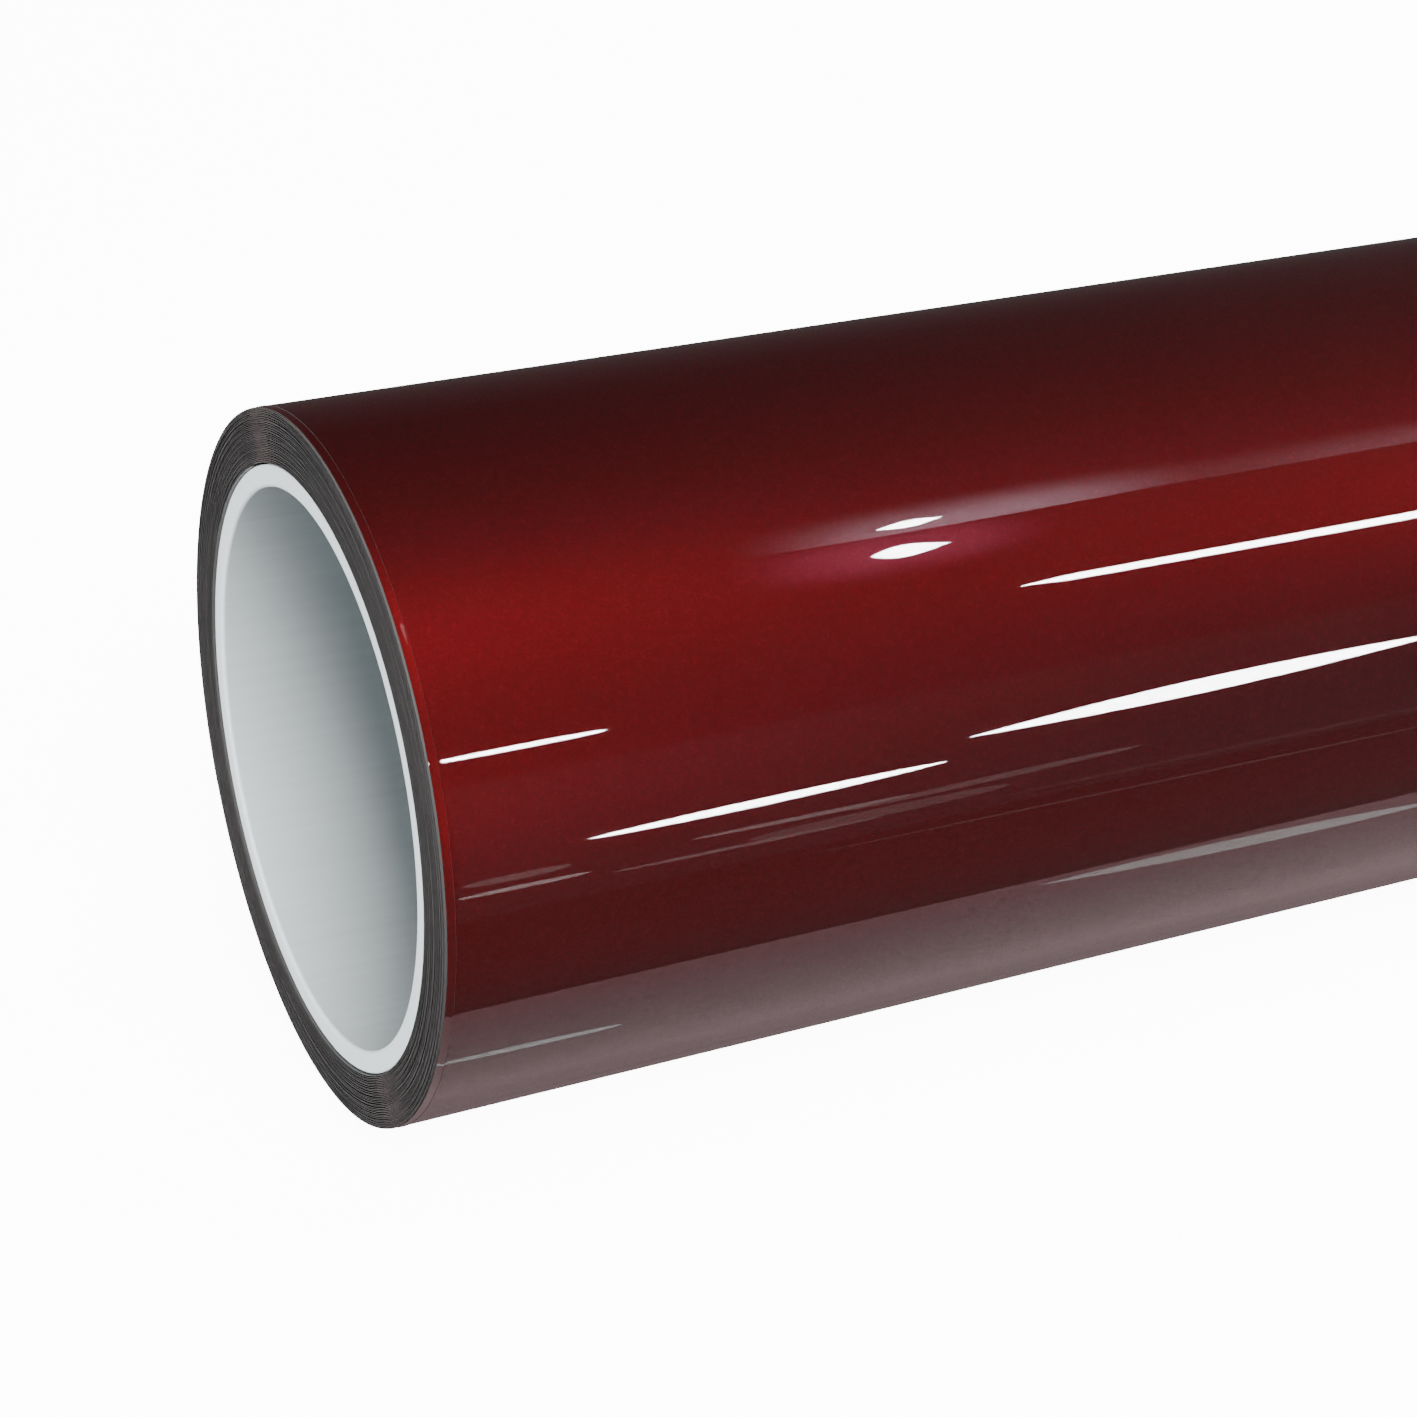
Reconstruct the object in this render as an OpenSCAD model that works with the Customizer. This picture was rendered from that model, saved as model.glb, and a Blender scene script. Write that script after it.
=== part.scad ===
// Roll of sign vinyl on a three-inch core, with its loose tail and two closing tabs.
// Millimetres, +Z up. The roll lies along X and the origin is the centre of the core's bore.
// Angles round the roll start at the front (-Y) and rise over the top (90) to the back (180).

/* [Core] */
// Radius of the core's bore, a three-inch core
core_bore_r = 38.1; // [19.05:0.05:76.2]
// Wall thickness of the core
core_wall = 3.05; // [2:0.05:12]
// Length of the core
core_len = 609.4; // [300:0.2:1600]
// Rounding of the bore's two edges
mouth_r = 0.6; // [0.2:0.1:1.2]
// Rounding of the core's two outside edges
rim_r = 0.25; // [0.1:0.05:0.6]

/* [Start tape] */
// Length of the double-sided tape along the core
start_tape_len = 120; // [40:5:150]
// Width of the tape round the core
start_tape_w = 25; // [10:1:50]
// Thickness of the tape
start_tape_t = 0.06; // [0.03:0.01:0.2]
// Clearance under and over the tape
start_gap = 0.01; // [0.005:0.005:0.05]

/* [Web] */
// Turns of the web round the core
web_turns = 32.25; // [4:0.25:60]
// Width of the release liner
liner_w = 610; // [300:1:1600]
// Width of the vinyl film, a little less than its liner
film_w = 609.4; // [300:0.2:1600]
// Width of the clear cap sheet over the film
cap_w = 607.2; // [300:0.2:1600]
// Thickness of the release liner
liner_t = 0.075; // [0.06:0.005:0.2]
// Thickness of the vinyl film with its adhesive
film_t = 0.08; // [0.06:0.005:0.2]
// Thickness of the clear cap sheet
cap_t = 0.06; // [0.06:0.005:0.1]
// Clearance between one layer and the next
layer_gap = 0.005; // [0.002:0.001:0.02]

/* [Tail] */
// Angle at which the free edge lies
edge_angle = 205; // [190:1:230]
// Angle from one fold line of the tail to the next
fold_step = 16.9; // [8:0.1:17.5]
// Angle left open at each fold line
fold_gap = 0.1; // [0.05:0.05:0.5]

/* [Closing tabs] */
// Distance of each tab from the middle of the roll
tab_x = 215; // [40:1:280]
// Width of a tab along the roll
tab_w = 50; // [20:1:80]
// Length of the half that stays on the tail
tab_hold_len = 12; // [3:1:13]
// Length of the half that closes onto the roll
tab_leaf_len = 25; // [10:1:40]
// Thickness of the tab's tape
tab_t = 0.05; // [0.03:0.01:0.15]
// Gap at the tab's fold line, round the roll
tab_fold = 0.3; // [0.1:0.1:1]

/* [Hidden] */
$fn = 128;

core_r = core_bore_r + core_wall;
pitch = liner_t + film_t + cap_t + 3 * layer_gap;
// Radial place of each layer above the inside of the laminate
film_base = liner_t + layer_gap;
cap_base = film_base + film_t + layer_gap;
// Inside of the laminate on the web's first quarter turn, on its last, and on the
// quarter turn that lies just below the free edge
web_start_r = core_r + start_tape_t + 2 * start_gap + pitch / 8;
quarters = round(4 * web_turns);
last_r = web_start_r + (quarters - 1) * pitch / 4;
below_r = last_r - 3 * pitch / 4;
// Outside of the cap sheet on the last two of these
last_out_r = last_r + cap_base + cap_t;
below_out_r = below_r + cap_base + cap_t;
// Fold lines across the tail. All layers fold at the first three, the film and the cap
// sheet at the fourth, and the cap sheet alone at the fifth.
FOLDS = 5;
LINER_FOLDS = 3;
FILM_FOLDS = 4;
// Quarter turns in the outermost turn, the short one before the tail among them
OUTER_QUARTERS = 5;
// Widest angle of one of the narrow flats that the tail is drawn in. A flat dips less
// than the layer gap, so it clears the layer below.
TAIL_FLAT = 1.4;

CORE_COLOUR = [0.85, 0.87, 0.87];
TAPE_COLOUR = [0.80, 0.74, 0.58];
LINER_COLOUR = [0.62, 0.60, 0.58];
FILM_COLOUR = [0.50, 0.04, 0.06];
CAP_COLOUR = [0.72, 0.30, 0.32];
TAB_COLOUR = [0.86, 0.86, 0.80];

function arc_angle(length, r) = length / r * 180 / PI;

// Stands a shape drawn round Z up along the roll, with its angle zero at the front
module on_roll()
{
    rotate([90, 0, 0])
        rotate([0, -90, 0])
            children();
}

// Strip of sheet bent round the roll within one quarter turn, between two angles
// counted from the start of that quarter. The centres of successive quarters are
// the corners of a small square round the roll's axis.
module bent_strip(quarter_from, r, t, w, from_angle, to_angle)
{
    rotate([0, 0, quarter_from])
        translate([-pitch / 8, pitch / 8, 0])
            rotate([0, 0, from_angle])
                rotate_extrude(angle = to_angle - from_angle)
                    translate([r, -w / 2])
                        square([t, w]);
}

// Angle of a fold line from the start of the web's last quarter turn
function fold_angle(number) = 90 - (FOLDS + 1 - number) * fold_step;

// Part of one layer of the wound web, from one quarter turn to another. The spiral is
// a chain of quarter rings, each a quarter of the pitch larger than the one before it,
// so every quarter runs smoothly into the next. The last one ends at the tail.
module wound_layer(first, last, base, t, w)
{
    on_roll()
        for (i = [first : last])
            bent_strip(edge_angle - 90 * (quarters - i), web_start_r + base + i * pitch / 4,
                       t, w, 0, i == quarters - 1 ? fold_angle(1) : 90);
}

module inner_turns(base, t, w)
{
    wound_layer(0, quarters - OUTER_QUARTERS - 1, base, t, w);
}

module outer_turn(base, t, w)
{
    wound_layer(quarters - OUTER_QUARTERS, quarters - 1, base, t, w);
}

// Points of one face of the tail, counted from the start of the last quarter turn
function tail_points(r, from_angle, step, numbers) =
    [for (i = numbers)
        let (b = from_angle + i * step)
            [r * cos(b) - pitch / 8, r * sin(b) + pitch / 8]];

// One segment of a layer of the tail, from its own fold line to the next one,
// or to the free edge on the layer's last segment
module tail_layer(number, folds, base, t, w)
{
    from_angle = fold_angle(number) + fold_gap;
    to_angle = number == folds ? 90 : fold_angle(number + 1);
    flats = ceil((to_angle - from_angle) / TAIL_FLAT - 0.01);
    step = (to_angle - from_angle) / flats;
    inner = last_r + base;
    on_roll()
        rotate([0, 0, edge_angle - 90])
            translate([0, 0, -w / 2])
                linear_extrude(height = w)
                    polygon(concat(
                        tail_points(inner, from_angle, step, [flats : -1 : 0]),
                        tail_points(inner + t, from_angle, step, [0 : flats])));
}

// Profile of the square cut away to round one outside corner at the origin
module corner_cut(r)
{
    difference()
    {
        square(2 * r, center = true);
        translate([r, r])
            circle(r = r);
        translate([r, -r])
            square(4 * r);
        translate([-r, r])
            square(4 * r);
    }
}

module core_tube()
{
    color(CORE_COLOUR)
        on_roll()
            rotate_extrude()
                difference()
                {
                    translate([core_bore_r, -core_len / 2])
                        square([core_wall, core_len]);
                    for (side = [0, 1])
                        mirror([0, side])
                        {
                            translate([core_bore_r, -core_len / 2])
                                corner_cut(mouth_r);
                            translate([core_r, -core_len / 2])
                                mirror([1, 0])
                                    corner_cut(rim_r);
                        }
                }
}

module start_tape()
{
    span = arc_angle(start_tape_w, core_r);
    color(TAPE_COLOUR)
        on_roll()
            rotate([0, 0, edge_angle - 90 * quarters])
                rotate_extrude(angle = span)
                    translate([core_r + start_gap, -start_tape_len / 2])
                        square([start_tape_t, start_tape_len]);
}

module liner_inner_turns()
{
    color(LINER_COLOUR)
        inner_turns(0, liner_t, liner_w);
}

module liner_outer_turn()
{
    color(LINER_COLOUR)
        outer_turn(0, liner_t, liner_w);
}

module film_inner_turns()
{
    color(FILM_COLOUR)
        inner_turns(film_base, film_t, film_w);
}

module film_outer_turn()
{
    color(FILM_COLOUR)
        outer_turn(film_base, film_t, film_w);
}

module cap_inner_turns()
{
    color(CAP_COLOUR)
        inner_turns(cap_base, cap_t, cap_w);
}

module cap_outer_turn()
{
    color(CAP_COLOUR)
        outer_turn(cap_base, cap_t, cap_w);
}

module liner_tail(number)
{
    color(LINER_COLOUR)
        tail_layer(number, LINER_FOLDS, 0, liner_t, liner_w);
}

module film_tail(number)
{
    color(FILM_COLOUR)
        tail_layer(number, FILM_FOLDS, film_base, film_t, film_w);
}

module cap_tail(number)
{
    color(CAP_COLOUR)
        tail_layer(number, FOLDS, cap_base, cap_t, cap_w);
}

// Half of a tab that is stuck to the tail's cap sheet and ends at the free edge
module tab_hold(x)
{
    span = arc_angle(tab_hold_len, last_out_r);
    color(TAB_COLOUR)
        translate([x, 0, 0])
            on_roll()
                bent_strip(edge_angle - 90, last_out_r + layer_gap, tab_t, tab_w,
                           90 - span, 90);
}

// Half of a tab that closes onto the turn below the free edge
module tab_leaf(x)
{
    fold = arc_angle(tab_fold, below_out_r);
    span = arc_angle(tab_leaf_len, below_out_r);
    color(TAB_COLOUR)
        translate([x, 0, 0])
            on_roll()
                bent_strip(edge_angle, below_out_r + layer_gap, tab_t, tab_w, fold, span);
}

core_tube();
start_tape();
liner_inner_turns();
film_inner_turns();
cap_inner_turns();
liner_outer_turn();
film_outer_turn();
cap_outer_turn();
liner_tail(1);  // liner_tail_1
liner_tail(2);  // liner_tail_2
liner_tail(3);  // liner_tail_3
film_tail(1);  // film_tail_1
film_tail(2);  // film_tail_2
film_tail(3);  // film_tail_3
film_tail(4);  // film_tail_4
cap_tail(1);  // cap_tail_1
cap_tail(2);  // cap_tail_2
cap_tail(3);  // cap_tail_3
cap_tail(4);  // cap_tail_4
cap_tail(5);  // cap_tail_5
tab_hold(-tab_x);  // tab_left_hold
tab_leaf(-tab_x);  // tab_left_leaf
tab_hold(tab_x);  // tab_right_hold
tab_leaf(tab_x);  // tab_right_leaf
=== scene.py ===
"""Looks of the roll of sign vinyl: a satin core, and a glossy metallic red web on its liner."""

import math

import bpy
import numpy as np
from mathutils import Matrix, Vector

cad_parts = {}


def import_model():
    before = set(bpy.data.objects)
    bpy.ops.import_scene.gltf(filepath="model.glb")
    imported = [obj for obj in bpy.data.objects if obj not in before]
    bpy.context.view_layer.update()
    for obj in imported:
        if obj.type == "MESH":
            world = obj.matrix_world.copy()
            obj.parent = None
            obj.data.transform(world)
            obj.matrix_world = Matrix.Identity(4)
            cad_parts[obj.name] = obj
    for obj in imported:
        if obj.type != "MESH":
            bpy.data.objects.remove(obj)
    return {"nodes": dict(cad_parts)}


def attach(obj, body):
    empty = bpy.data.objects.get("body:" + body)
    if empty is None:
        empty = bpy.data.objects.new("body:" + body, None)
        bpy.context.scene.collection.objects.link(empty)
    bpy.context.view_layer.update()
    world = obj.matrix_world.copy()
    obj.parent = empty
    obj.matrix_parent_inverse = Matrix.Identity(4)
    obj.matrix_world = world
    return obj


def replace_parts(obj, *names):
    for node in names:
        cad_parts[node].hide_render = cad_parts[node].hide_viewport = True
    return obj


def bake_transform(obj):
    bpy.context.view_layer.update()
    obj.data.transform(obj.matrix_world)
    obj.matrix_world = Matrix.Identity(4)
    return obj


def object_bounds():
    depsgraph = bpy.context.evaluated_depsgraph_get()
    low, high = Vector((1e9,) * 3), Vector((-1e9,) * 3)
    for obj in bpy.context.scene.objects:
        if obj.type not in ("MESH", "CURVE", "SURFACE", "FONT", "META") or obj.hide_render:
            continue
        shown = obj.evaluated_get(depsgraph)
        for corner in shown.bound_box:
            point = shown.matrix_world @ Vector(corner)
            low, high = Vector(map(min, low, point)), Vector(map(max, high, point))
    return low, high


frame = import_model()
CAD_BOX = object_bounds()

# The core, the web and the tabs, in metres and degrees, as in the CAD source
BORE_R, CORE_R, CORE_LEN = 0.0381, 0.04115, 0.6094
MOUTH_R, RIM_R = 0.0006, 0.00025
LINER_T, FILM_T, CAP_T, LAYER_GAP = 0.000075, 0.00008, 0.00006, 0.000005
QUARTERS, OUTER_QUARTERS = 129, 5
EDGE_ANGLE, FOLD_STEP, FOLDS = 205.0, 16.9, 5
TAB_X, TAB_W, TAB_T = 0.215, 0.050, 0.00005
TAB_HOLD, TAB_LEAF, TAB_FOLD = 0.012, 0.025, 0.0003
# Thickness of the web's three layers together, and the distance from turn to turn
WEB_T = LINER_T + FILM_T + CAP_T + 2 * LAYER_GAP
PITCH = WEB_T + LAYER_GAP
# Room for the start tape, and the radii inside the web's first and last quarter turns
TAPE_ROOM = 0.00008
WEB_START_R = CORE_R + TAPE_ROOM + PITCH / 8
LAST_R = WEB_START_R + (QUARTERS - 1) * PITCH / 4
# The web's end, in degrees along it
WEB_END = 90.0 * QUARTERS
# Height of each layer's inside above the laminate's, its thickness, its width and the
# number of its fold lines
LAYERS = {
    "liner": (0.0, LINER_T, 0.6100, 3),
    "film": (LINER_T + LAYER_GAP, FILM_T, 0.6094, 4),
    "cap": (LINER_T + FILM_T + 2 * LAYER_GAP, CAP_T, 0.6072, 5),
}
FLOOR_Z = CAD_BOX[0].z
# Height of the sheet's hills, and the drop of the film past the cap sheet: depth, start, width
HILLS = 0.000012
DROP, DROP_X, DROP_W = 0.00003, 0.3035, 0.0008
# Steps of the wound web's sideways drift in a turn, and the seed that they are drawn from
DRIFT_STEPS, DRIFT_SEED = 3, 11
# Half the stretch of a sheet whose stations are even, how far the next one lies before the
# drop, and what the last one keeps off the sheet's end
EVEN_HALF, DROP_LEAD, END_ROOM = 0.3024, 0.0005, 0.0002
# Steps along and across the fine sheets, and round the inner turns
FINE_TURN, FINE_X, COARSE_TURN = 1.4, 0.005, 3.75
# Radius at which the textures' distances along the web are true
SHEET_R = 0.048
# Widths of the tab's fold line in which it comes down to the turn below
TAB_DROP = 6


# ---------------------------------------------------------------- geometry

def roll_dir(angle):
    """Outward directions (Y, Z) at angles round the roll, 0 at the front and 90 on top."""
    a = np.radians(angle)
    return np.stack([-np.cos(a), np.sin(a)], -1)


def web_points(s, height):
    """(Y, Z) of the web at s degrees along it and a height above the laminate's inside."""
    s = np.asarray(s, float)
    quarter = np.clip(np.ceil(s / 90 - 1e-9) - 1, 0, QUARTERS - 1)
    b = np.radians(s - 90 * quarter)
    r = WEB_START_R + quarter * PITCH / 4 + height
    x, y = r * np.cos(b) - PITCH / 8, r * np.sin(b) + PITCH / 8
    q = np.radians(EDGE_ANGLE - 90 * (QUARTERS - quarter))
    return np.stack([-(x * np.cos(q) - y * np.sin(q)), x * np.sin(q) + y * np.cos(q)], -1)


def web_angle(s):
    """Angle round the roll at s degrees along the web."""
    return np.asarray(s, float) + EDGE_ANGLE - WEB_END


def span(start, end, step):
    """Evenly spaced numbers from start to end, at most step apart."""
    return np.linspace(start, end, max(2, int(math.ceil(abs(end - start) / step - 1e-6)) + 1))


def wander(s):
    """Sideways drift of the web as it was wound, in metres, the same for all its layers.

    It dies away over the last of the inner turns, so that the outer turn lies straight.
    """
    turn = np.asarray(s, float) / 360
    settled = np.clip((WEB_END - 90 * OUTER_QUARTERS - np.asarray(s, float)) / 360, 0, 1)
    rng = np.random.default_rng(DRIFT_SEED)
    knots = rng.uniform(-1, 1, DRIFT_STEPS * (QUARTERS // 4 + 2))
    slow = np.interp(turn * DRIFT_STEPS, np.arange(len(knots)), knots)
    return settled * (0.00007 * slow + 0.00006 * np.sin(2.1 * turn) - 0.00003)


def unevenness(x, angle):
    """Gentle hills and hollows of the tensioned sheet, in metres."""
    a = np.radians(angle)
    return HILLS * (np.sin(47 * x + 2 * np.sin(2 * a)) * np.sin(3 * a + 0.6)
                    + 0.6 * np.sin(83 * x - 3 * a) + 0.5 * np.sin(5 * a + 19 * x))


def end_drop(x):
    """Drop of the sheets beyond the cap sheet's ends, in metres."""
    t = np.clip((np.abs(x) - DROP_X) / DROP_W, 0, 1)
    return -DROP * t * t * (3 - 2 * t)


def surface_lift(x, angle):
    """How far a fine sheet stands off its true spiral, in metres."""
    return unevenness(x, angle) + end_drop(x)


def grid_faces(columns, rows, first, flip):
    """Quads of a grid of points, rows along the web and columns across it."""
    i, j = np.meshgrid(np.arange(rows - 1), np.arange(columns - 1), indexing="ij")
    a = first + (i * columns + j).ravel()
    quads = np.stack([a, a + 1, a + columns + 1, a + columns], 1)
    return quads[:, ::-1] if flip else quads


def linked(name, data):
    """A new object of some data, in the scene."""
    made = bpy.data.objects.new(name, data)
    bpy.context.scene.collection.objects.link(made)
    return made


def new_mesh(name, points, faces, slots, normals, uv, materials):
    """A mesh object with its face materials, its corner normals and its UV map."""
    mesh = bpy.data.meshes.new(name)
    mesh.from_pydata(points.tolist(), [], faces.tolist())
    for m in materials:
        mesh.materials.append(m)
    mesh.polygons.foreach_set("material_index", np.asarray(slots, np.int32))
    mesh.polygons.foreach_set("use_smooth", np.ones(len(faces), bool))
    layer = mesh.uv_layers.new(name="sheet")
    layer.data.foreach_set("uv", uv[faces.ravel()].astype(np.float32).ravel())
    mesh.update()
    mesh.normals_split_custom_set(normals.reshape(-1, 3).tolist())
    return linked(name, mesh)


def sheet_mesh(name, s, x, points, materials, ends=(True, True), flex=1.0):
    """A closed thin sheet: points(s, side) gives its (Y, Z) on the inside (0) and outside (1).

    s runs along the web in degrees and x across it. The sheet's cut edges take the second
    material. ends says which of its two ends along the web are closed, and flex is how much
    of the surface's lift it has.
    """
    rows, cols = len(s), len(x)
    sides = []
    for side in (0, 1):
        yz = points(s, side)
        grid = np.empty((rows, cols, 3))
        grid[..., 0] = x[None, :] + wander(s)[:, None]
        out = roll_dir(web_angle(s))
        lift = surface_lift(x[None, :], web_angle(s)[:, None]) * flex
        grid[..., 1:] = yz[:, None, :] + out[:, None, :] * lift[..., None]
        sides.append(grid.reshape(-1, 3))
    count = rows * cols
    co = np.concatenate(sides)
    inner, outer = grid_faces(cols, rows, 0, True), grid_faces(cols, rows, count, False)
    r = np.arange(rows - 1) * cols
    c = np.arange(cols - 1)
    low = np.stack([r, r + count, r + count + cols, r + cols], 1)
    high = np.stack([r, r + cols, r + cols + count, r + count], 1) + cols - 1
    faces, slots = [inner, outer, low, high], [0, 0, 1, 1]
    if ends[0]:
        faces.append(np.stack([c, c + 1, c + 1 + count, c + count], 1))
        slots.append(1)
    if ends[1]:
        faces.append(np.stack([c, c + count, c + 1 + count, c + 1], 1) + (rows - 1) * cols)
        slots.append(1)
    smooth = smooth_normals(s, x, flex)
    corner = [-smooth[inner], smooth[outer - count]]
    corner += [flat_normals(co, f) for f in faces[2:]]
    flat = np.stack([np.tile(x, rows), np.repeat(np.radians(s) * SHEET_R, cols)], 1)
    return new_mesh(name, co, np.concatenate(faces),
                    np.concatenate([np.full(len(f), m) for f, m in zip(faces, slots)]),
                    np.concatenate(corner), np.concatenate([flat, flat]), materials)


def smooth_normals(s, x, flex):
    """Outward normals of a sheet's outside, from its slopes."""
    angle = web_angle(s)[:, None]
    dx, da = 0.0002, 0.05

    def lift(at_x, at_angle):
        return surface_lift(at_x, at_angle) * flex

    slope_x = (lift(x[None] + dx, angle) - lift(x[None] - dx, angle)) / (2 * dx)
    slope_a = (lift(x[None], angle + da) - lift(x[None], angle - da)) / (2 * math.radians(da))
    out = roll_dir(web_angle(s))
    along = np.stack([-out[:, 1], out[:, 0]], -1)
    n = np.empty((len(s), len(x), 3))
    n[..., 0] = -slope_x
    n[..., 1:] = out[:, None, :] - along[:, None, :] * (slope_a / LAST_R)[..., None]
    n /= np.linalg.norm(n, axis=-1, keepdims=True)
    return n.reshape(-1, 3)


def flat_normals(co, faces):
    """The normal of each quad, once for each of its corners."""
    p = co[faces]
    n = np.cross(p[:, 1] - p[:, 0], p[:, 2] - p[:, 0])
    n /= np.maximum(np.linalg.norm(n, axis=1, keepdims=True), 1e-12)
    return np.repeat(n[:, None, :], 4, 1)


def across(width):
    """Places across a sheet: even in the middle, and close together near its two ends."""
    half = width / 2
    end = np.concatenate([[DROP_X - DROP_LEAD], DROP_X + DROP_W * np.linspace(0, 1, 5)])
    end = end[end < half - END_ROOM]
    middle = span(-EVEN_HALF, EVEN_HALF, FINE_X)
    return np.concatenate([[-half], -end[::-1], middle, end, [half]])


def layer_points(layer):
    """The function that gives a layer's (Y, Z), for sheet_mesh."""
    base, t = LAYERS[layer][:2]
    return lambda s, side: web_points(s, base + side * t)


def fold_s(number):
    """Place along the web of a fold line of the tail."""
    return WEB_END - (FOLDS + 1 - number) * FOLD_STEP


def inner_turns(layer, materials):
    """A layer's wound turns, from the core to under its outer turn."""
    half = LAYERS[layer][2] / 2
    s = span(0, 90 * (QUARTERS - OUTER_QUARTERS), COARSE_TURN)
    made = sheet_mesh(f"{layer}_inner", s, np.array([-half, half]), layer_points(layer),
                      materials, flex=0.0)
    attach(made, "roll")
    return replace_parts(made, f"{layer}_inner_turns")


def outer_turn(layer, materials):
    """A layer's last turn on the roll, up to the tail's first fold line."""
    s = span(90 * (QUARTERS - OUTER_QUARTERS), fold_s(1), FINE_TURN)
    made = sheet_mesh(f"{layer}_outer", s, across(LAYERS[layer][2]),
                      layer_points(layer), materials, (True, False))
    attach(made, "roll")
    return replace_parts(made, f"{layer}_outer_turn")


def tail_piece(layer, number, materials):
    """The part of a layer's tail from one fold line to the next, or to the web's end."""
    last = number == LAYERS[layer][3]
    s = span(fold_s(number), WEB_END if last else fold_s(number + 1), FINE_TURN)
    made = sheet_mesh(f"{layer}_tail_{number}", s, across(LAYERS[layer][2]),
                      layer_points(layer), materials, (False, last))
    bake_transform(made)
    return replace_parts(made, f"{layer}_tail_{number}")


def tab(side, x, finish):
    """A closing tab, folded over the free edge and down onto the turn below it."""
    hold = math.degrees(TAB_HOLD / LAST_R)
    leaf = math.degrees(TAB_LEAF / LAST_R)
    drop = TAB_DROP * math.degrees(TAB_FOLD / LAST_R)
    turned = np.concatenate([span(-hold, 0, FINE_TURN / 2), span(0, leaf, FINE_TURN / 2)[1:]])

    def points(b, face):
        """Down from the free edge's height to that of the turn below, past the edge."""
        height = WEB_T + LAYER_GAP + face * TAB_T
        top = web_points(WEB_END + np.minimum(b, 0), height)
        low = web_points(WEB_END - 360 + np.maximum(b, 0), height)
        t = np.clip(b / drop, 0, 1)[:, None]
        t = t * t * (3 - 2 * t)
        high = roll_dir(web_angle(WEB_END + b)) * np.linalg.norm(top, axis=1)[:, None]
        return np.where(b[:, None] <= 0, top, high * (1 - t) + low * t)

    made = sheet_mesh(f"tab_{side}", WEB_END + turned, x + span(-TAB_W / 2, TAB_W / 2, FINE_X),
                      lambda s, face: points(s - WEB_END, face), [finish, finish], flex=0.0)
    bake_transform(made)
    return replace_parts(made, f"tab_{side}_hold", f"tab_{side}_leaf")


def arc(centre, r, start, end, count=5):
    """Points of an arc between two angles, in degrees."""
    a = np.radians(np.linspace(start, end, count))
    return [(centre[0] + r * math.cos(t), centre[1] + r * math.sin(t)) for t in a]


def core(finish, around=256):
    """The core as one turned profile of (x, radius), with its bore's mouths rounded."""
    half = CORE_LEN / 2
    stations = [(x, BORE_R) for x in span(-half + 0.02, half - 0.02, 0.05)]
    profile = (
        arc((-half + MOUTH_R, BORE_R + MOUTH_R), MOUTH_R, 180, 270, 7) + stations
        + arc((half - MOUTH_R, BORE_R + MOUTH_R), MOUTH_R, 270, 360, 7)
        + arc((half - RIM_R, CORE_R - RIM_R), RIM_R, 0, 90)
        + arc((-half + RIM_R, CORE_R - RIM_R), RIM_R, 90, 180))
    rim = roll_dir(np.arange(around) * 360 / around)
    rows = len(profile)
    co = np.array([(x, r * d[0], r * d[1]) for x, r in profile for d in rim])
    i, j = np.meshgrid(np.arange(rows), np.arange(around), indexing="ij")
    i, j = i.ravel(), j.ravel()
    k, n = (i + 1) % rows, (j + 1) % around
    faces = np.stack([i * around + j, k * around + j, k * around + n, i * around + n], 1)
    mesh = bpy.data.meshes.new("core")
    mesh.from_pydata(co.tolist(), [], faces.tolist())
    mesh.materials.append(finish)
    mesh.polygons.foreach_set("use_smooth", np.ones(len(faces), bool))
    mesh.update()
    made = linked("core", mesh)
    sharpen(made, 40)
    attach(made, "roll")
    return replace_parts(made, "core_tube")


def sharpen(made, degrees):
    """Keeps the edges sharper than this many degrees crisp under smooth shading."""
    with bpy.context.temp_override(object=made, active_object=made,
                                   selected_editable_objects=[made]):
        bpy.ops.object.shade_smooth_by_angle(angle=math.radians(degrees))


# ---------------------------------------------------------------- materials

def material(name):
    """A new node material, its tree and its main shader."""
    made = bpy.data.materials.new(name)
    made.use_nodes = True
    tree = made.node_tree
    return made, tree, tree.nodes["Principled BSDF"]


def node(tree, kind, inputs=None, **settings):
    """A new node with its settings, and its inputs linked or set."""
    made = tree.nodes.new("ShaderNode" + kind)
    for key, value in settings.items():
        setattr(made, key, value)
    for key, value in (inputs or {}).items():
        if hasattr(value, "is_output"):
            tree.links.new(value, made.inputs[key])
        else:
            made.inputs[key].default_value = value
    return made


def sheet_place(tree, along_web=1):
    """The sheet's own surface coordinates in metres, stretched by a factor along the web."""
    uv = node(tree, "UVMap", uv_map="sheet")
    scale = node(tree, "Mapping", {"Vector": uv.outputs[0], "Scale": (1, along_web, 1)})
    return scale.outputs[0]


def ramp(tree, factor, stops):
    """A colour ramp of (place, colour) stops."""
    made = node(tree, "ValToRGB", {"Fac": factor})
    bar = made.color_ramp
    while len(bar.elements) < len(stops):
        bar.elements.new(0.5)
    for e, (place, colour) in zip(bar.elements, stops):
        e.position, e.color = place, (*colour, 1)
    return made.outputs[0]


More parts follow.
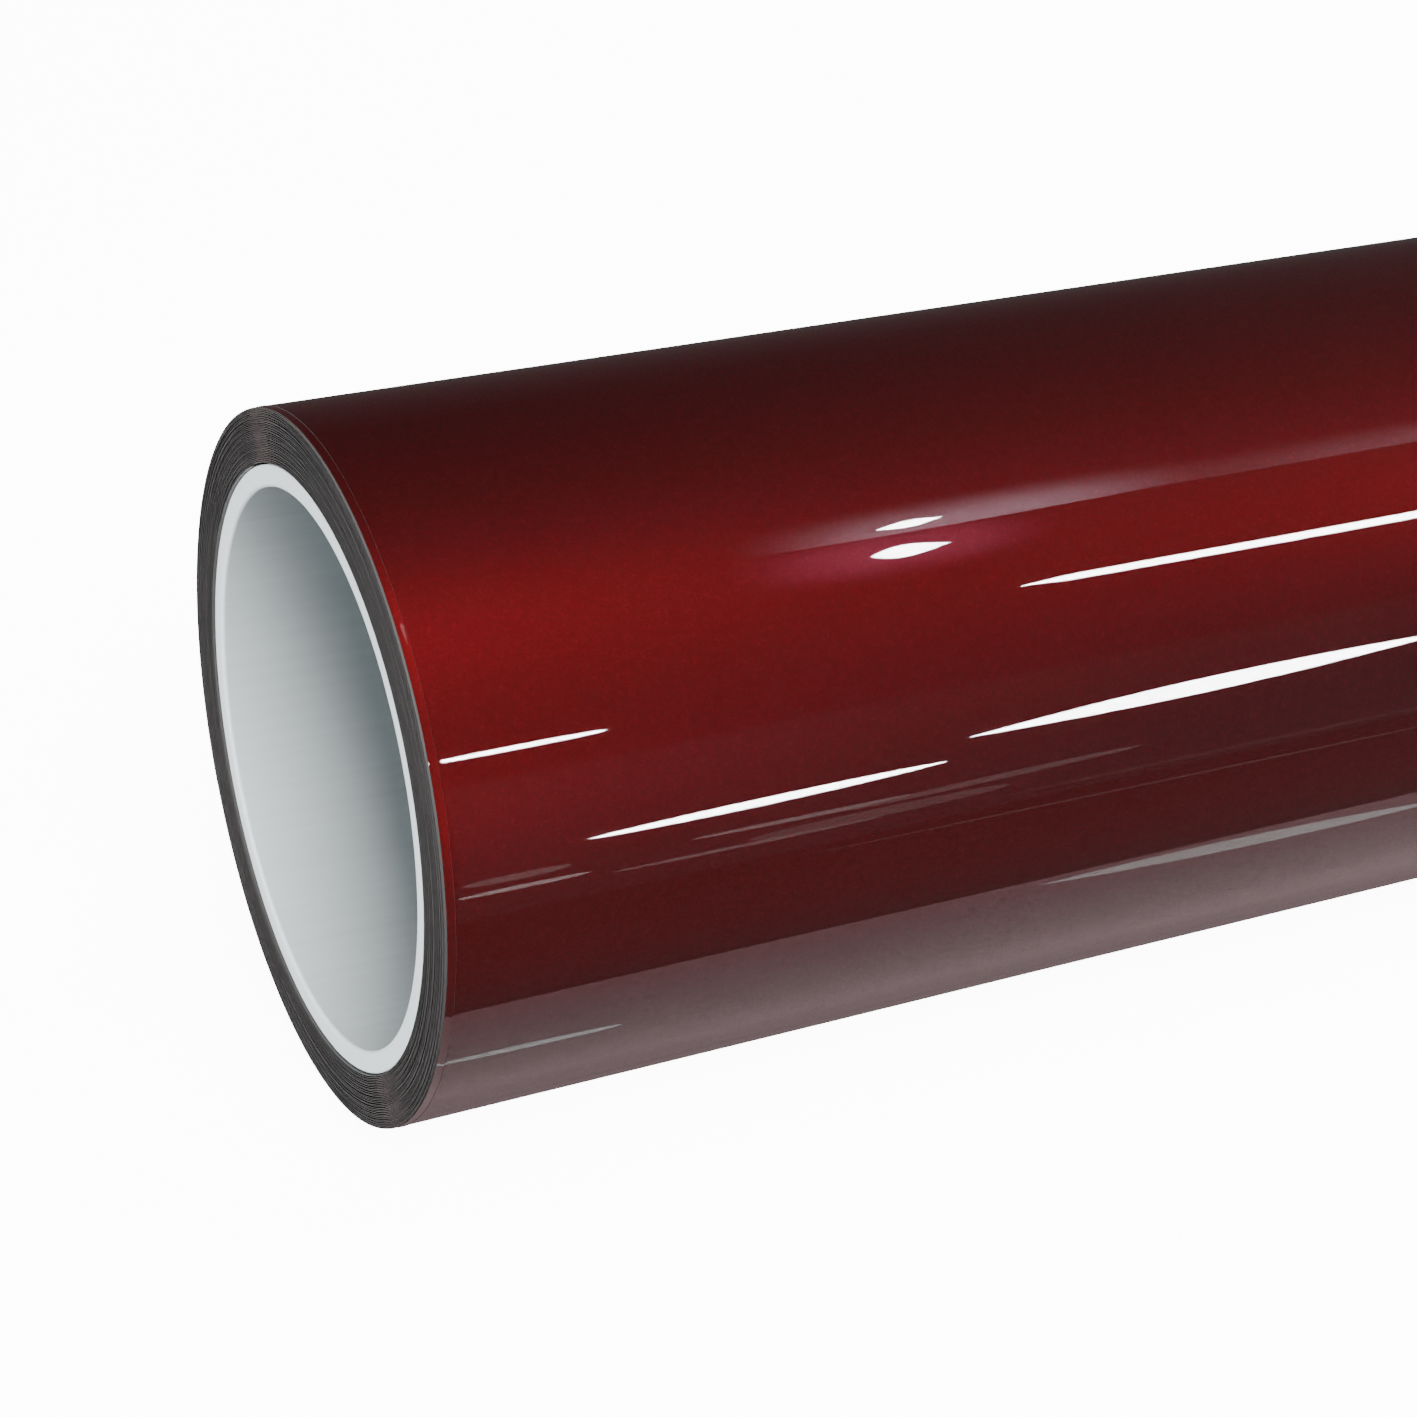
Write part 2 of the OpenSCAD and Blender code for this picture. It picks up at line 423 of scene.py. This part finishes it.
def film_red():
    """Metallic candy red with a fine flake, under a clear mirror-like gloss."""
    made, tree, bsdf = material("film_metallic_red")
    flake = node(tree, "TexVoronoi", {"Vector": sheet_place(tree), "Scale": 4200.0},
                 voronoi_dimensions="2D", feature="F1")
    mottle = node(tree, "TexNoise", {"Vector": sheet_place(tree), "Scale": 900.0,
                                     "Detail": 3.0}, noise_dimensions="2D")
    value = node(tree, "SeparateColor", {"Color": flake.outputs["Color"]})
    both = node(tree, "Math", {0: value.outputs[0], 1: mottle.outputs[0]}, operation="MULTIPLY")
    colour = ramp(tree, both.outputs[0], [(0.0, (0.50, 0.005, 0.012)),
                                          (0.45, (0.58, 0.007, 0.015)),
                                          (1.0, (0.72, 0.016, 0.030))])
    tree.links.new(colour, bsdf.inputs["Base Color"])
    rough = node(tree, "MapRange", {"Value": value.outputs[1], "To Min": 0.40, "To Max": 0.50})
    tree.links.new(rough.outputs[0], bsdf.inputs["Roughness"])
    bump = node(tree, "Bump", {"Height": mottle.outputs[0], "Strength": 0.06,
                               "Distance": 0.0001})
    tree.links.new(bump.outputs[0], bsdf.inputs["Normal"])
    bsdf.inputs["Metallic"].default_value = 1.0
    bsdf.inputs["Coat Weight"].default_value = 1.0
    bsdf.inputs["Coat Roughness"].default_value = 0.0
    bsdf.inputs["Coat IOR"].default_value = 1.48
    return made


def cut_edge(name, light, dark):
    """Slit edge of a wound layer: matt, with streaks that run round the roll."""
    made, tree, bsdf = material(name)
    streak = node(tree, "TexNoise", {"Vector": sheet_place(tree), "Scale": 60.0,
                                     "Detail": 4.0, "Roughness": 0.7}, noise_dimensions="2D")
    colour = ramp(tree, streak.outputs[0], [(0.3, dark), (0.7, light)])
    tree.links.new(colour, bsdf.inputs["Base Color"])
    bsdf.inputs["Roughness"].default_value = 0.8
    bsdf.inputs["Specular IOR Level"].default_value = 0.0
    return made


def liner_paper():
    """Release liner: a smooth, faintly mottled silicone coat, with painted shade that turns it
    near-black where its ends lie between the turns.
    """
    pale_to, dark_from = 0.3025, 0.3035
    made, tree, bsdf = material("liner_release")
    fibre = node(tree, "TexNoise", {"Vector": sheet_place(tree, 2.5), "Scale": 350.0,
                                    "Detail": 6.0}, noise_dimensions="2D")
    colour = ramp(tree, fibre.outputs[0], [(0.3, (0.62, 0.64, 0.63)), (0.7, (0.74, 0.75, 0.74))])
    place = node(tree, "SeparateXYZ", {"Vector": sheet_place(tree)})
    away = node(tree, "Math", {0: place.outputs[0]}, operation="ABSOLUTE")
    # Painted shade: past pale_to the liner's faces darken to near-black, standing in for the
    # shade in the narrow gaps between turns at the roll's ends
    end_shade_mask = node(tree, "MapRange", {"Value": away.outputs[0], "From Min": pale_to,
                                   "From Max": dark_from})
    edge = node(tree, "Mix", {0: end_shade_mask.outputs[0], 6: colour, 7: (0.053, 0.049, 0.049, 1)},
                data_type="RGBA")
    tree.links.new(edge.outputs[2], bsdf.inputs["Base Color"])
    bump = node(tree, "Bump", {"Height": fibre.outputs[0], "Strength": 0.15,
                               "Distance": 0.0001})
    tree.links.new(bump.outputs[0], bsdf.inputs["Normal"])
    bsdf.inputs["Roughness"].default_value = 0.32
    return made


def cap_clear():
    """Thin clear cap sheet: nearly invisible, with a polished surface."""
    made, tree, bsdf = material("cap_clear")
    haze = node(tree, "TexNoise", {"Vector": sheet_place(tree), "Scale": 45.0,
                                   "Detail": 2.0}, noise_dimensions="2D")
    colour = ramp(tree, haze.outputs[0], [(0.3, (0.012, 0.003, 0.004)),
                                          (0.7, (0.020, 0.005, 0.006))])
    tree.links.new(colour, bsdf.inputs["Base Color"])
    bsdf.inputs["Roughness"].default_value = 0.05
    bsdf.inputs["Alpha"].default_value = 0.03
    return made


def core_plastic():
    """Satin off-white tube with faint draw lines along it."""
    made, tree, bsdf = material("core_satin")
    place = node(tree, "TexCoord")
    drawn = node(tree, "Mapping", {"Vector": place.outputs["Object"], "Scale": (2, 160, 160)})
    lines = node(tree, "TexNoise", {"Vector": drawn.outputs[0], "Scale": 6.0, "Detail": 5.0})
    colour = ramp(tree, lines.outputs[0], [(0.3, (0.575, 0.635, 0.65)),
                                           (0.7, (0.625, 0.685, 0.70))])
    tree.links.new(colour, bsdf.inputs["Base Color"])
    bump = node(tree, "Bump", {"Height": lines.outputs[0], "Strength": 0.08,
                               "Distance": 0.0002})
    tree.links.new(bump.outputs[0], bsdf.inputs["Normal"])
    bsdf.inputs["Roughness"].default_value = 0.42
    return made


def tab_film():
    """Frosted closing tape, with a fine grain."""
    made, tree, bsdf = material("tab_frosted")
    grain = node(tree, "TexNoise", {"Vector": sheet_place(tree), "Scale": 2500.0,
                                    "Detail": 3.0}, noise_dimensions="2D")
    colour = ramp(tree, grain.outputs[0], [(0.3, (0.66, 0.66, 0.62)), (0.7, (0.80, 0.80, 0.76))])
    tree.links.new(colour, bsdf.inputs["Base Color"])
    bump = node(tree, "Bump", {"Height": grain.outputs[0], "Strength": 0.3,
                               "Distance": 0.00005})
    tree.links.new(bump.outputs[0], bsdf.inputs["Normal"])
    bsdf.inputs["Roughness"].default_value = 0.38
    bsdf.inputs["Alpha"].default_value = 0.6
    return made


def tape_tissue():
    """Double-sided tissue tape that holds the web's start to the core."""
    made, tree, bsdf = material("start_tape_tissue")
    place = node(tree, "TexCoord")
    fibre = node(tree, "TexNoise", {"Vector": place.outputs["Object"], "Scale": 900.0,
                                    "Detail": 6.0})
    colour = ramp(tree, fibre.outputs[0], [(0.3, (0.60, 0.52, 0.36)), (0.7, (0.78, 0.72, 0.56))])
    tree.links.new(colour, bsdf.inputs["Base Color"])
    bsdf.inputs["Roughness"].default_value = 0.7
    return made


# ---------------------------------------------------------------- camera

# The camera's angles in degrees, and its lens and sensor in millimetres
AZIMUTH, ELEVATION, LENS, SENSOR = -25.85, 24.01, 81.19, 36.0
# Place of the near end face, its distance along the view, and where its middle stands
# from the frame's middle, in widths of the frame
FACE_X, FACE_DISTANCE = -0.305, 0.4256
FACE_RIGHT, FACE_UP = -0.2811, -0.0442


def camera_axes():
    """The camera's right, up and backward directions."""
    a, e = math.radians(AZIMUTH), math.radians(ELEVATION)
    back = Vector((math.sin(a) * math.cos(e), -math.cos(a) * math.cos(e), math.sin(e)))
    right = Vector((math.cos(a), math.sin(a), 0))
    return right, back.cross(right), back


def camera_place():
    """Where the camera stands, from where the near end face's middle is in the frame."""
    right, up, back = camera_axes()
    wide = SENSOR / LENS * FACE_DISTANCE
    return (Vector((FACE_X, 0, 0)) + back * FACE_DISTANCE
            - right * (FACE_RIGHT * wide) - up * (FACE_UP * wide))


def camera():
    """The scene's camera, at the photograph's angle."""
    data = bpy.data.cameras.new("camera")
    data.lens, data.sensor_width = LENS, SENSOR
    data.clip_start, data.clip_end = 0.01, 20
    made = linked("camera", data)
    made.location = camera_place()
    made.rotation_mode = "QUATERNION"
    made.rotation_quaternion = (-camera_axes()[2]).to_track_quat("-Z", "Y")
    bpy.context.scene.camera = made


# ---------------------------------------------------------------- studio

# The point that the softboxes face, and how far off most of them stand
STUDIO_MIDDLE, SOFTBOX_FAR = Vector((-0.2, 0, 0)), 1.6
# Brightness of the floor and the backdrop for the camera, and of the studio for the object
FLOOR_GLOW, BACKDROP_GLOW, WORLD_GLOW = 11.0, 14.0, 0.1
# Shares of that glow from behind and from below, and how much more the film's coat mirrors
BEHIND, BELOW, MIRRORED = 0.25, 0.4, 3.0
# Half width of the mirrored table in roll radii, and its tint
TABLE_EDGE, TABLE_TINT = 1.31, (1.35, 0.98, 1.02)
# Brightness of the mirrored table at distances from the resting line, in roll radii
TABLE_SHADE = [(0.36, 0.18), (0.47, 0.31), (0.58, 0.52), (0.66, 0.78), (0.74, 0.90), (1.0, 1.04)]
# Tints of the lamps that are not white
PURPLE, PINK, COOL = (0.95, 0.85, 1.0), (1.0, 0.2, 0.4), (0.9, 0.95, 1.0)
# Height above the laminate's inside at which the web mirrors a lamp
MIRROR_HEIGHT = 0.00024
# Points along a lens-shaped lamp, and half the width of its tips in degrees
LAMP_POINTS, LAMP_TIP = 41, 0.004
# Half sizes of the floor and of the mirrored table's length
FLOOR_HALF, TABLE_HALF = 6, 3


def softbox(name, direction, width, height, radiance, distance=SOFTBOX_FAR,
            lights_gloss=True, lights_matt=True):
    """A rectangular lamp that faces the roll from a direction, and what it lights."""
    data = bpy.data.lights.new(name, "AREA")
    data.shape, data.size, data.size_y = "RECTANGLE", width, height
    data.energy = radiance * width * height * math.pi
    made = linked(name, data)
    d = Vector(direction).normalized()
    made.location = d * distance + STUDIO_MIDDLE
    made.rotation_mode = "QUATERNION"
    made.rotation_quaternion = (-d).to_track_quat("-Z", "Y")
    made.visible_camera = False
    made.visible_glossy, made.visible_diffuse = lights_gloss, lights_matt
    return made


def glowing(name, strength, colour=(1, 1, 1), fade=None):
    """Emission that shows in mirror reflections alone.

    A faded one is a clear soft glow: "both" dies away to both its sides, "up" only upwards.
    """
    made = bpy.data.materials.new(name)
    made.use_nodes = True
    tree = made.node_tree
    tree.nodes.clear()
    out = node(tree, "OutputMaterial")
    light = node(tree, "Emission", {"Color": (*colour, 1)})
    path = node(tree, "LightPath")
    power = node(tree, "Math", {0: path.outputs["Is Singular Ray"], 1: strength},
                 operation="MULTIPLY").outputs[0]
    if fade:
        uv = node(tree, "UVMap", uv_map="lamp")
        place = node(tree, "SeparateXYZ", {"Vector": uv.outputs[0]})
        for side in (0, 1):
            shift = "MULTIPLY" if fade == "up" and side == 1 else "SUBTRACT"
            away = node(tree, "Math", {0: place.outputs[side], 1: 0.5}, operation=shift)
            far = node(tree, "Math", {0: away.outputs[0]}, operation="ABSOLUTE")
            dim = node(tree, "MapRange", {"Value": far.outputs[0], "From Min": 0.0,
                                          "From Max": 0.5, "To Min": 1.0, "To Max": 0.0},
                       interpolation_type="SMOOTHERSTEP")
            faded = node(tree, "Math", {0: power, 1: dim.outputs[0]}, operation="MULTIPLY")
            power = faded.outputs[0]
    tree.links.new(power, light.inputs["Strength"])
    clear = node(tree, "BsdfTransparent", {"Color": (*([1.0 if fade else 0.0] * 3), 1)})
    both = node(tree, "AddShader", {0: light.outputs[0], 1: clear.outputs[0]})
    tree.links.new(both.outputs[0], out.inputs[0])
    return made


def reflected(x, angle, distance):
    """Where a lamp stands to be mirrored to the camera at x and an angle round the roll."""
    out = roll_dir(angle)
    normal = Vector((0, *out))
    place = Vector((x, *(out * (LAST_R + MIRROR_HEIGHT))))
    ray = (place - camera_place()).normalized()
    return place + (ray - normal * (2 * ray.dot(normal))) * distance


def streak(name, start, end, thick, blunt=0.8, peak=0.5, strength=220.0, colour=(1, 1, 1),
           fade=None, distance=1.2):
    """A long lens-shaped lamp, seen in the film as a streak.

    start and end are (metres along the roll, degrees round it) of the streak, and thick is
    its widest part in degrees, at the share peak of its length. A low blunt gives full ends.
    """
    low, high = [], []
    for t in np.linspace(0, 1, LAMP_POINTS):
        u = t ** (math.log(0.5) / math.log(peak))
        half = 0.5 * thick * max(math.sin(math.pi * u), 0.0) ** blunt + LAMP_TIP
        x = start[0] + (end[0] - start[0]) * t
        a = start[1] + (end[1] - start[1]) * t
        low.append(reflected(x, a - half, distance))
        high.append(reflected(x, a + half, distance))
    mesh = bpy.data.meshes.new(name)
    n = LAMP_POINTS
    faces = [(i, i + 1, n + i + 1, n + i) for i in range(n - 1)]
    mesh.from_pydata([tuple(p) for p in low + high], [], faces)
    mesh.materials.append(glowing(name, strength, colour, fade))
    places = mesh.uv_layers.new(name="lamp")
    for loop in mesh.loops:
        v = loop.vertex_index
        places.data[loop.index].uv = (v % n / (n - 1), v // n)
    made = linked(name, mesh)
    hide_but_mirrored(made)
    return made


def hide_but_mirrored(made):
    """Leaves a lamp to be seen in reflections only."""
    made.visible_camera = made.visible_diffuse = made.visible_shadow = False
    made.visible_transmission = made.visible_volume_scatter = False


def plane(name, half_x, half_y, z, mat):
    """A level rectangle of the stage, centred under the roll."""
    mesh = bpy.data.meshes.new(name)
    corners = [(-half_x, -half_y), (half_x, -half_y), (half_x, half_y), (-half_x, half_y)]
    mesh.from_pydata([(x, y, z) for x, y in corners], [], [(0, 1, 2, 3)])
    mesh.materials.append(mat)
    made = linked(name, mesh)
    return made


def floor():
    """A plain white light table. Its mirror image in the film is a strip of its own."""
    made = bpy.data.materials.new("floor")
    made.use_nodes = True
    tree = made.node_tree
    bsdf = tree.nodes["Principled BSDF"]
    bsdf.inputs["Base Color"].default_value = (0.9, 0.9, 0.9, 1)
    bsdf.inputs["Roughness"].default_value = 0.9
    bsdf.inputs["Specular IOR Level"].default_value = 0.0
    path = node(tree, "LightPath")
    glow = node(tree, "Math", {0: path.outputs["Is Camera Ray"], 1: FLOOR_GLOW},
                operation="MULTIPLY")
    bsdf.inputs["Emission Color"].default_value = (1, 1, 1, 1)
    tree.links.new(glow.outputs[0], bsdf.inputs["Emission Strength"])
    ground = plane("floor", FLOOR_HALF, FLOOR_HALF, FLOOR_Z, made)
    ground.visible_glossy = ground.visible_diffuse = False
    strip = plane("table_reflection", TABLE_HALF, TABLE_EDGE * LAST_R, FLOOR_Z + 0.0001,
                  table_glow())
    hide_but_mirrored(strip)


def table_glow():
    """The table as the film mirrors it, shaded towards the line where the roll rests."""
    made = glowing("table_reflection", 1.0, TABLE_TINT)
    tree = made.node_tree
    light = next(n for n in tree.nodes if n.type == "EMISSION")
    power = light.inputs["Strength"].links[0].from_socket
    place = node(tree, "SeparateXYZ", {"Vector": node(tree, "TexCoord").outputs["Object"]})
    far = node(tree, "Math", {0: place.outputs[1]}, operation="ABSOLUTE")
    share = node(tree, "Math", {0: far.outputs[0], 1: TABLE_EDGE * LAST_R}, operation="DIVIDE")
    shade = ramp(tree, share.outputs[0], [(r / TABLE_EDGE, (g, g, g)) for r, g in TABLE_SHADE])
    both = node(tree, "Math", {0: power, 1: shade}, operation="MULTIPLY")
    tree.links.new(both.outputs[0], light.inputs["Strength"])
    return made


def world():
    """Bright behind the object, and dim in its reflections, dimmest behind it."""
    made = bpy.data.worlds.new("studio")
    made.use_nodes = True
    tree = made.node_tree
    path = node(tree, "LightPath")
    way = node(tree, "SeparateXYZ", {"Vector": node(tree, "TexCoord").outputs["Generated"]})
    dim = node(tree, "MapRange", {"Value": way.outputs[1], "From Min": -0.3, "From Max": 0.8,
                                  "To Min": WORLD_GLOW, "To Max": BEHIND * WORLD_GLOW})
    below = node(tree, "MapRange", {"Value": way.outputs[2], "From Min": -0.6, "From Max": 0.1,
                                    "To Min": BELOW * WORLD_GLOW, "To Max": 0.0})
    matt = node(tree, "Math", {0: dim.outputs[0], 1: below.outputs[0]}, operation="ADD")
    sharp = node(tree, "Math", {0: dim.outputs[0], 1: MIRRORED}, operation="MULTIPLY")
    seen = node(tree, "Mix", {0: path.outputs["Is Singular Ray"], 2: matt.outputs[0],
                              3: sharp.outputs[0]})
    mix = node(tree, "Mix", {0: path.outputs["Is Camera Ray"], 2: seen.outputs[0],
                             3: BACKDROP_GLOW})
    tree.links.new(mix.outputs[0], tree.nodes["Background"].inputs["Strength"])
    tree.nodes["Background"].inputs["Color"].default_value = (1, 1, 1, 1)
    bpy.context.scene.world = made


def lights():
    """Softboxes round the front of the roll, and lamps for its ends, its bore and its back."""
    softbox("top_box", (-0.17, -0.49, 0.87), 1.1, 0.5, 2.2)
    softbox("high_box", (-0.17, -0.72, 0.56), 1.1, 0.5, 0.24)
    softbox("front_box", (-0.17, -0.91, 0.10), 1.1, 0.5, 1.5)
    softbox("right_box", (0.86, -0.30, 0.42), 0.6, 0.5, 2.5)
    softbox("left_box", (-0.97, -0.10, 0.20), 1.0, 1.2, 7.0, distance=1.5, lights_matt=False)
    softbox("rim_box", (-1, 0, 0), 0.5, 0.5, 440, distance=3.0, lights_gloss=False)
    softbox("mouth_box", (-0.08, -0.80, 0.58), 0.86, 0.8, 37, lights_gloss=False)
    softbox("back_box", (0.30, 0.85, 0.45), 1.0, 0.6, 9.0, lights_gloss=False)
    softbox("far_end_box", (0.70, -0.10, 0.65), 0.6, 0.6, 20.0, lights_gloss=False)


def highlights():
    """The strip lamps mirrored in the film, from the top of the roll down."""
    streak("lens_high", (-0.2385, 45.8), (-0.2285, 46.1), 1.1, blunt=1.2)
    streak("lens_low", (-0.2402, 41.7), (-0.2286, 41.8), 1.9, blunt=1.1, peak=0.42)
    streak("line_upper", (-0.2212, 33.0), (0.0600, 31.2), 1.15, blunt=0.12)
    streak("line_left", (-0.3060, 23.8), (-0.2820, 23.65), 0.62, blunt=0.3)
    streak("lens_middle", (-0.2318, 11.7), (-0.1550, 12.8), 2.3, blunt=0.9)
    streak("lens_left", (-0.2862, 8.5), (-0.2352, 8.7), 1.1, blunt=0.6)
    streak("halo_high", (-0.2640, 47.4), (-0.1850, 47.4), 5.6, blunt=0.1, strength=4.5,
           colour=PURPLE, fade="up", distance=1.3)
    streak("halo_long", (-0.2500, 47.2), (0.0400, 46.8), 5.0, blunt=0.1, strength=1.6,
           colour=PURPLE, fade="up", distance=1.4)
    streak("halo_low", (-0.2660, 42.0), (-0.2100, 42.0), 10.0, blunt=0.4, strength=3.3,
           colour=PINK, fade="both", distance=1.5)
    streak("front_panel", (-0.3100, 9.8), (0.1000, 9.8), 20.0, blunt=0.0, strength=0.42,
           colour=COOL, distance=1.5)
    faint = [
        ((-0.3030, 5.2), (-0.2885, 5.1), 1.0, 1.6), ((-0.3040, 3.5), (-0.2860, 3.4), 0.6, 4.5),
        ((-0.2720, 5.1), (-0.2340, 4.5), 0.6, 2.6), ((-0.2830, 2.6), (-0.2450, 2.2), 0.5, 1.8),
        ((-0.2640, 3.1), (-0.2260, 2.8), 1.4, 1.1), ((-0.2500, 4.4), (-0.2050, 4.6), 0.9, 1.3),
        ((-0.2550, -1.5), (-0.1400, -3.2), 0.3, 0.8), ((-0.2300, 1.1), (-0.1400, 0.6), 0.6, 0.6)]
    for number, (start, end, thick, strength) in enumerate(faint):
        streak(f"faint_{number + 1}", start, end, thick, blunt=0.4, strength=strength)
    streak("table_line", (-0.3055, -27.6), (-0.2790, -28.5), 1.2, blunt=0.4, strength=3.0,
           distance=0.02)
    streak("table_lens", (-0.2195, -17.8), (-0.1500, -20.0), 2.4, blunt=0.9, strength=3.2,
           distance=0.02)


# ---------------------------------------------------------------- the object

def build():
    """Every piece of the roll in place of its CAD nodes, the core and the wound turns on the
    roll's body.
    """
    film = [film_red(), cut_edge("film_edge", (0.066, 0.047, 0.046), (0.034, 0.023, 0.023))]
    liner = [liner_paper(), cut_edge("liner_edge", (0.075, 0.073, 0.073), (0.044, 0.043, 0.043))]
    cap = [cap_clear(), cut_edge("cap_edge", (0.058, 0.052, 0.052), (0.033, 0.030, 0.030))]
    sheets = {"liner": liner, "film": film, "cap": cap}
    core(core_plastic())
    for layer, materials in sheets.items():
        made = [inner_turns(layer, materials), outer_turn(layer, materials)]
        made += [tail_piece(layer, n, materials) for n in range(1, LAYERS[layer][3] + 1)]
    frosted = tab_film()
    tab("left", -TAB_X, frosted)
    tab("right", TAB_X, frosted)
    tape = frame["nodes"]["start_tape"]
    tape.data.materials.clear()
    tape.data.materials.append(tape_tissue())


camera()
build()
floor()
world()
lights()
highlights()
